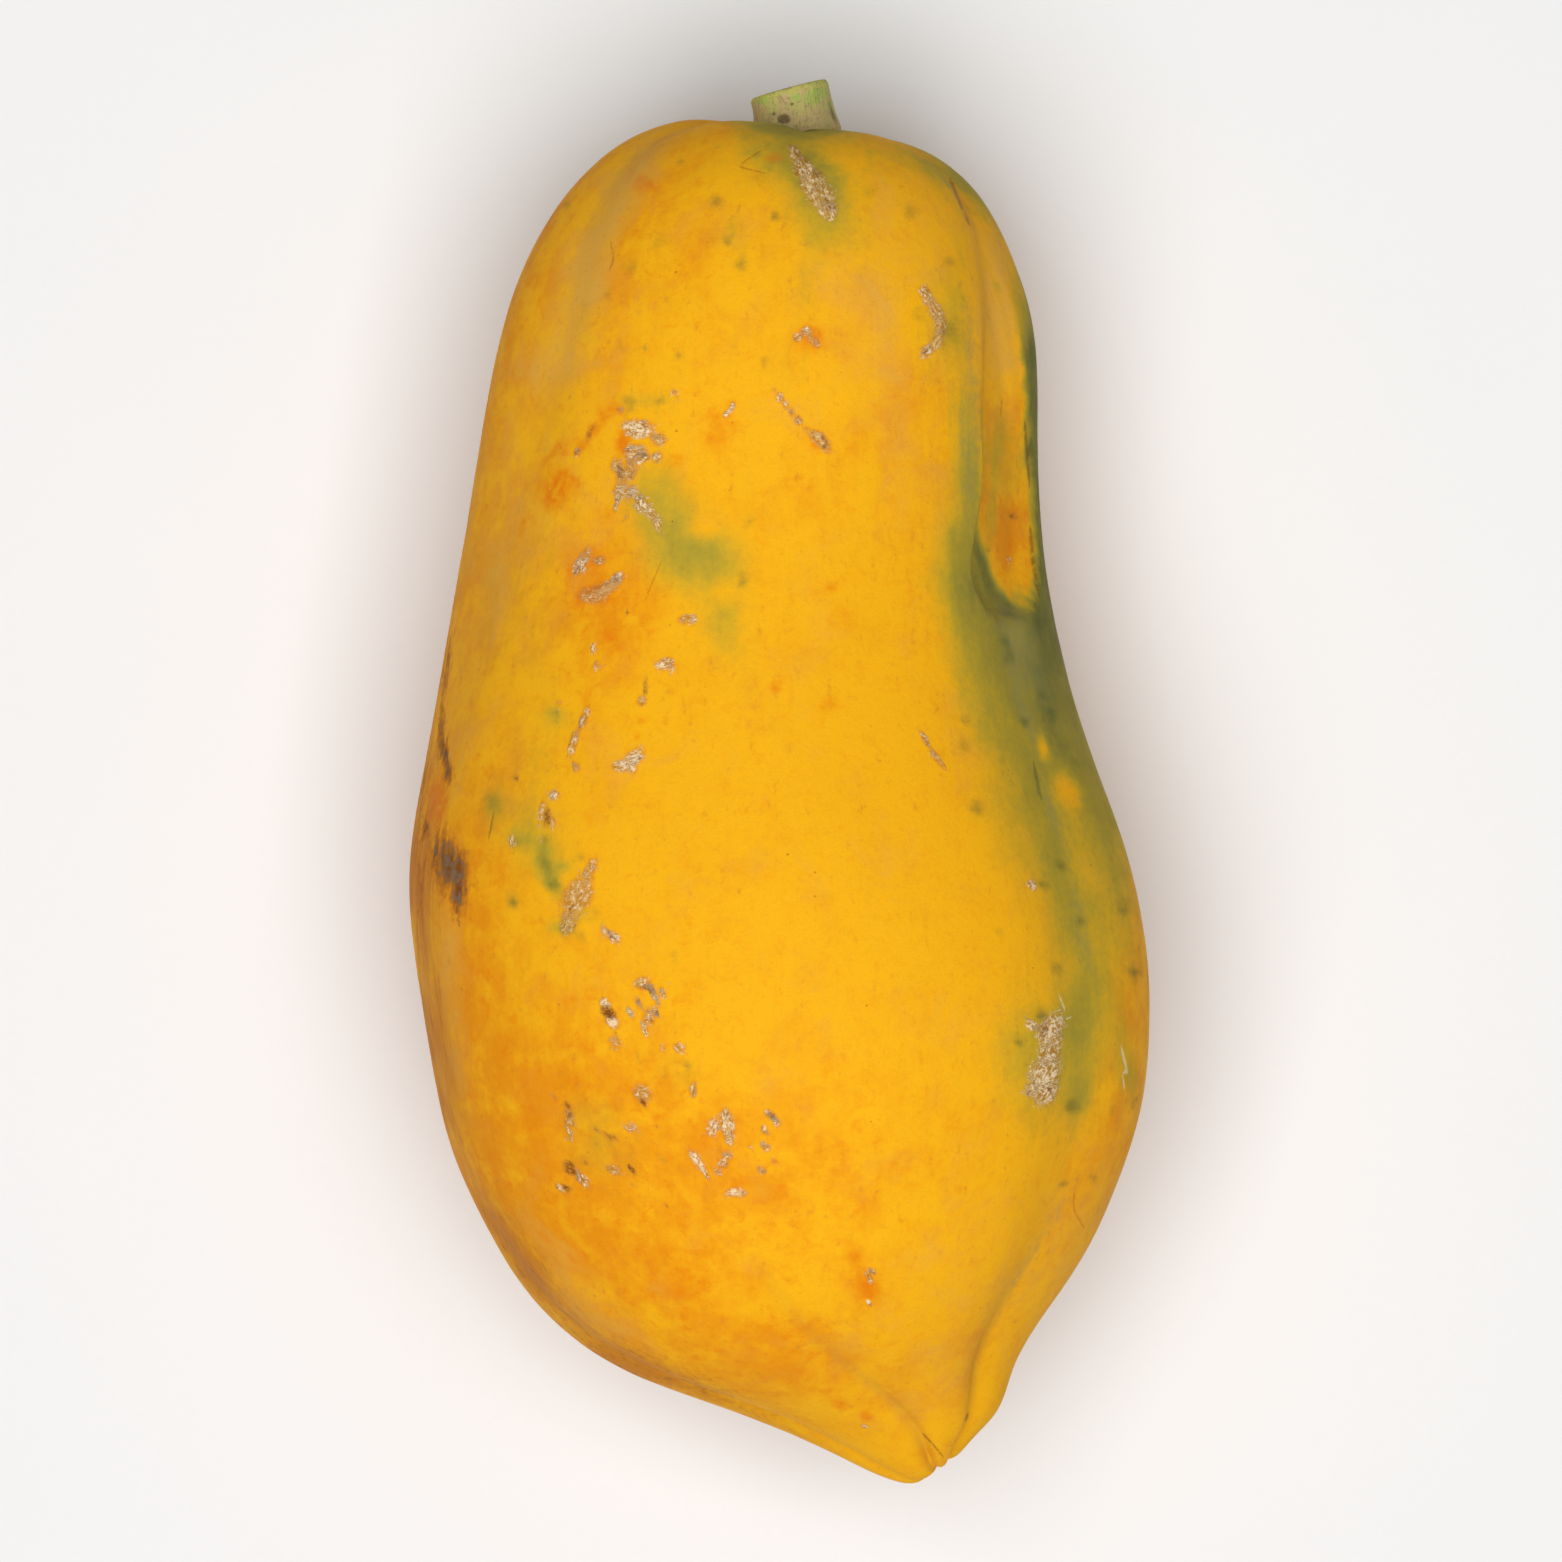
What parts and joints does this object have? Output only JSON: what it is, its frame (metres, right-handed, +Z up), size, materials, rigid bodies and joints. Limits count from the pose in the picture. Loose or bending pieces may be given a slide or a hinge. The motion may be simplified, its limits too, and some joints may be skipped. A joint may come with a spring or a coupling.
{
  "type": "papaya",
  "caption": "Large ripe papaya with a narrow neck, soft lengthwise lobes and a pinched blossom end, lying on its side with its short cut stem.",
  "frame": {"origin": "on the surface that the fruit lies on, under the middle of its bounding box", "axes": "+Y from the blossom end towards the stem, +Z up, +X to the right as seen from above with the stem away from the viewer"},
  "size_m": [0.1489, 0.2812, 0.1365],
  "materials": {
    "papaya_skin": "satin",
    "stem_rind": "matte"
  },
  "bodies": {
    "root": {"fruit": "papaya_skin", "stem": "stem_rind"}
  },
  "joints": []
}
